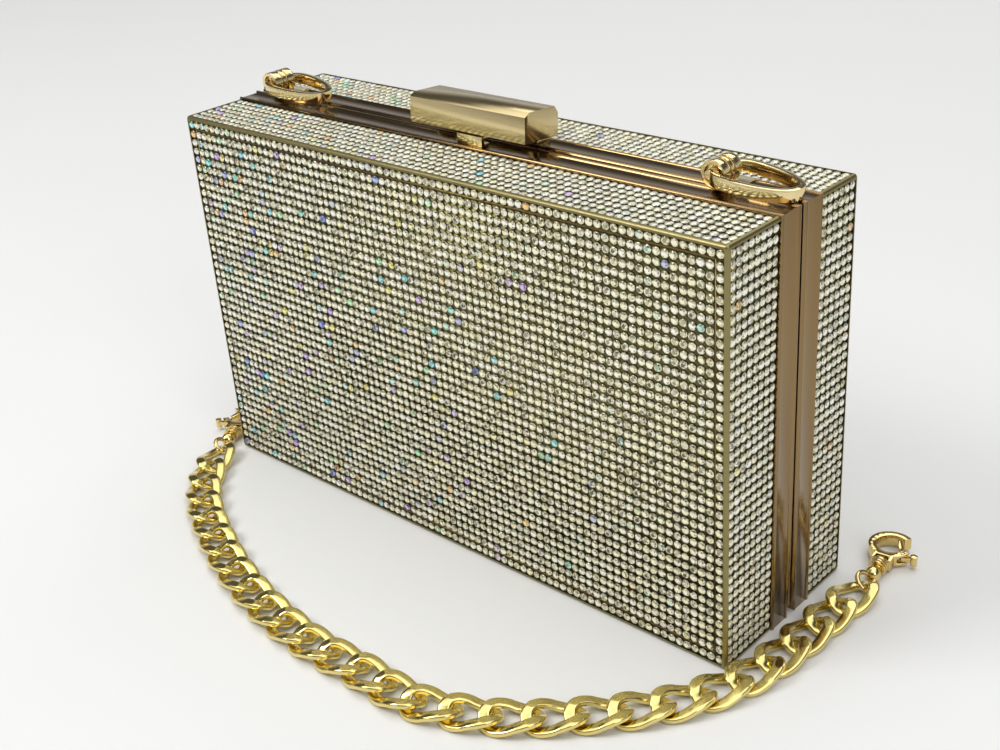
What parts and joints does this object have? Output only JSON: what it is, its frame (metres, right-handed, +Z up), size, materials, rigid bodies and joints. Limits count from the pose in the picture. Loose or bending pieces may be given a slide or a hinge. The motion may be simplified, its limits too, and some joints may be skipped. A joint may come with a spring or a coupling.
{
  "type": "minaudiere",
  "caption": "Hard rectangular evening bag in two hinged halves, covered in small faceted stones, with a lift-up bar clasp, two flop rings and a curb chain that ends in swivel hooks.",
  "frame": {"origin": "on the surface it stands on, under the middle of the bag", "axes": "+X along the bag to the right, +Y to its back, +Z up"},
  "size_m": [0.2349, 0.1431, 0.1302],
  "materials": {
    "stones": "faceted",
    "shell": "plain",
    "frame_metal": "satin",
    "lining": "matte",
    "hinge_brass": "satin",
    "steel": "satin",
    "clasp_metal": "polished",
    "ring_gold": "polished",
    "hook_gold": "polished",
    "chain_gold": "polished"
  },
  "bodies": {
    "rear_half": {"rear_shell": "shell", "rear_stone_cover": "stones", "rear_frame": "frame_metal", "rear_lining": "lining", "closing_lip": "frame_metal", "rear_hinge_leaf": "hinge_brass", "rear_hinge_rivets": "hinge_brass", "hinge_pin": "steel", "clasp_bracket": "clasp_metal", "clasp_pin": "steel", "clasp_spring": "steel", "left_ring_lug": "ring_gold", "right_ring_lug": "ring_gold"},
    "front_half": {"front_shell": "shell", "front_stone_cover": "stones", "front_frame": "frame_metal", "front_lining": "lining", "front_hinge_leaf": "hinge_brass", "front_hinge_rivets": "hinge_brass", "strike_tab": "clasp_metal"},
    "clasp": {"clasp_bar": "clasp_metal"},
    "left_flop_ring": {"left_ring": "ring_gold"},
    "right_flop_ring": {"right_ring": "ring_gold"},
    "chain_left": {"chain_link_01": "chain_gold", "chain_link_02": "chain_gold", "chain_link_03": "chain_gold", "chain_link_04": "chain_gold", "chain_link_05": "chain_gold", "chain_link_06": "chain_gold", "chain_link_07": "chain_gold", "chain_link_08": "chain_gold", "chain_link_09": "chain_gold"},
    "chain_middle": {"chain_link_10": "chain_gold", "chain_link_11": "chain_gold", "chain_link_12": "chain_gold", "chain_link_13": "chain_gold", "chain_link_14": "chain_gold", "chain_link_15": "chain_gold", "chain_link_16": "chain_gold", "chain_link_17": "chain_gold", "chain_link_18": "chain_gold", "chain_link_19": "chain_gold"},
    "chain_right": {"chain_link_20": "chain_gold", "chain_link_21": "chain_gold", "chain_link_22": "chain_gold", "chain_link_23": "chain_gold", "chain_link_24": "chain_gold", "chain_link_25": "chain_gold", "chain_link_26": "chain_gold", "chain_link_27": "chain_gold", "chain_link_28": "chain_gold"},
    "left_swivel": {"left_swivel_eye": "hook_gold"},
    "left_hook": {"left_hook_body": "hook_gold", "left_gate_pin": "steel"},
    "left_gate": {"left_hook_gate": "hook_gold"},
    "right_swivel": {"right_swivel_eye": "hook_gold"},
    "right_hook": {"right_hook_body": "hook_gold", "right_gate_pin": "steel"},
    "right_gate": {"right_hook_gate": "hook_gold"}
  },
  "joints": [
    {"name": "rear_half_open", "type": "hinge", "parent": "front_half", "child": "rear_half", "pos_m": [0, 0.00225, 0.0018], "axis": [-1, 0, 0], "range_deg": [0, 90]},
    {"name": "clasp_lift", "type": "hinge", "parent": "rear_half", "child": "clasp", "pos_m": [0, 0.00455, 0.1236], "axis": [-1, 0, 0], "range_deg": [0, 35], "stiffness_Nm_per_rad": 0.02, "springref_deg": -17.19},
    {"name": "left_ring_swing", "type": "hinge", "parent": "rear_half", "child": "left_flop_ring", "pos_m": [-0.091, 0.00265, 0.1223], "axis": [0, -1, 0], "range_deg": [0, 168]},
    {"name": "right_ring_swing", "type": "hinge", "parent": "rear_half", "child": "right_flop_ring", "pos_m": [0.077, 0.00265, 0.1223], "axis": [0, -1, 0], "range_deg": [0, 168]},
    {"name": "chain_raise", "type": "slide", "parent": "front_half", "child": "chain_middle", "axis": [0, 0, 1], "range_m": [0, 0.06]},
    {"name": "chain_left_bend", "type": "hinge", "parent": "chain_middle", "child": "chain_left", "pos_m": [-0.01919, -0.08502, 0.00263], "axis": [0, 0, 1], "range_deg": [0, 15]},
    {"name": "chain_right_bend", "type": "hinge", "parent": "chain_middle", "child": "chain_right", "pos_m": [0.08203, -0.06679, 0.00263], "axis": [0, 0, -1], "range_deg": [0, 15]},
    {"name": "left_swivel_swing", "type": "hinge", "parent": "chain_left", "child": "left_swivel", "pos_m": [-0.1004, -0.03705, 0.00263], "axis": [0, 0, 1], "range_deg": [-10, 12]},
    {"name": "left_hook_turn", "type": "hinge", "parent": "left_swivel", "child": "left_hook", "pos_m": [-0.1004, -0.03705, 0.00263], "axis": [-0.5342, 0.8454, 0], "continuous": true},
    {"name": "left_gate_open", "type": "hinge", "parent": "left_hook", "child": "left_gate", "pos_m": [-0.11356, -0.02442, 0.00263], "axis": [0, 0, -1], "range_deg": [0, 25], "stiffness_Nm_per_rad": 0.004, "springref_deg": -17.19},
    {"name": "right_swivel_swing", "type": "hinge", "parent": "chain_right", "child": "right_swivel", "pos_m": [0.11115, 0.02196, 0.00263], "axis": [0, 0, -1], "range_deg": [0, 35]},
    {"name": "right_hook_turn", "type": "hinge", "parent": "right_swivel", "child": "right_hook", "pos_m": [0.11115, 0.02196, 0.00263], "axis": [-0.1321, 0.9912, 0], "continuous": true},
    {"name": "right_gate_open", "type": "hinge", "parent": "right_hook", "child": "right_gate", "pos_m": [0.11316, 0.04009, 0.00263], "axis": [0, 0, 1], "range_deg": [0, 25], "stiffness_Nm_per_rad": 0.004, "springref_deg": -17.19}
  ]
}
